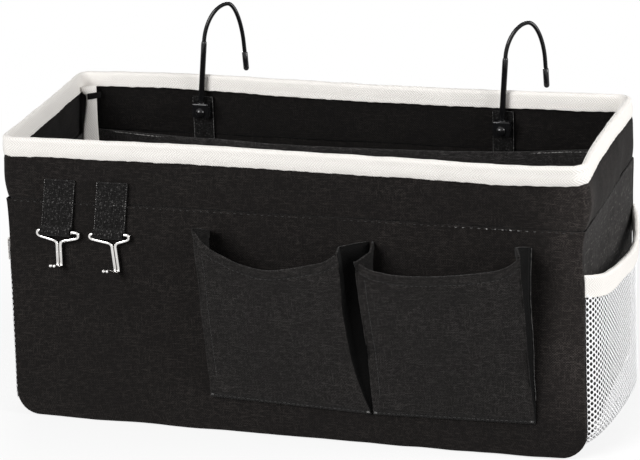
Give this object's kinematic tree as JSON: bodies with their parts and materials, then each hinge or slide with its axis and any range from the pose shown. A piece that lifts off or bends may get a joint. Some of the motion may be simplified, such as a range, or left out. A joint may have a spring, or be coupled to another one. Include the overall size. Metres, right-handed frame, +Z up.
{
  "type": "bedside caddy",
  "caption": "Board-stiffened canvas bedside caddy with a bound rim, bellows front pockets, mesh side pockets, swinging key hooks and swivelling wire hooks that hang it on a rail.",
  "frame": {"origin": "middle of the base, on the surface that the caddy stands on", "axes": "+X to the right seen from the front, +Y towards the back wall that carries the hooks, +Z up"},
  "size_m": [0.4256, 0.1977, 0.2556],
  "materials": {
    "canvas": "charcoal plain-weave canvas with light flecks",
    "lining": "charcoal plain-weave lining",
    "board": "grey stiffening board",
    "binding_tape": "off-white herringbone twill tape",
    "mesh": "white knitted mesh",
    "webbing": "black canvas strap",
    "black_plastic": "glossy black moulding",
    "black_wire": "black coated steel wire",
    "nickel": "bright nickel-plated wire"
  },
  "bodies": {
    "caddy": {"front_panel": "canvas", "back_panel": "canvas", "side_gusset": "canvas", "collar": "canvas", "rim_binding": "binding_tape", "front_board": "board", "back_board": "board", "left_board": "board", "right_board": "board", "base_board": "board", "front_lining": "lining", "back_lining": "lining", "gusset_lining": "lining", "corner_binding_front_left": "binding_tape", "corner_binding_front_right": "binding_tape", "corner_binding_back_left": "binding_tape", "corner_binding_back_right": "binding_tape", "front_pocket_left": "canvas", "front_pocket_right": "canvas", "mesh_pocket_left": "mesh", "mesh_pocket_right": "mesh", "mesh_binding_left": "binding_tape", "mesh_binding_right": "binding_tape", "key_tab_left": "webbing", "key_tab_right": "webbing", "hook_strap_left": "webbing", "hook_strap_right": "webbing", "hook_plate_left": "black_plastic", "hook_plate_right": "black_plastic", "hook_rivet_left": "black_plastic", "hook_rivet_right": "black_plastic"},
    "left_hook": {"hook_wire_left": "black_wire", "hook_sleeve_left": "black_plastic", "hook_cap_left": "black_plastic"},
    "right_hook": {"hook_wire_right": "black_wire", "hook_sleeve_right": "black_plastic", "hook_cap_right": "black_plastic"},
    "left_key_hook": {"key_hook_left": "nickel"},
    "right_key_hook": {"key_hook_right": "nickel"}
  },
  "joints": [
    {"name": "left_hook_swivel", "type": "hinge", "parent": "caddy", "child": "left_hook", "pos_m": [-0.107, 0.071, 0.1836], "axis": [0, 0, 1], "continuous": true},
    {"name": "right_hook_swivel", "type": "hinge", "parent": "caddy", "child": "right_hook", "pos_m": [0.1115, 0.071, 0.1814], "axis": [0, 0, 1], "continuous": true},
    {"name": "left_key_hook_swing", "type": "hinge", "parent": "caddy", "child": "left_key_hook", "pos_m": [-0.1615, -0.0836, 0.137], "axis": [-1, 0, 0], "range_deg": [0, 120]},
    {"name": "right_key_hook_swing", "type": "hinge", "parent": "caddy", "child": "right_key_hook", "pos_m": [-0.125, -0.0836, 0.137], "axis": [-1, 0, 0], "range_deg": [0, 120]}
  ]
}
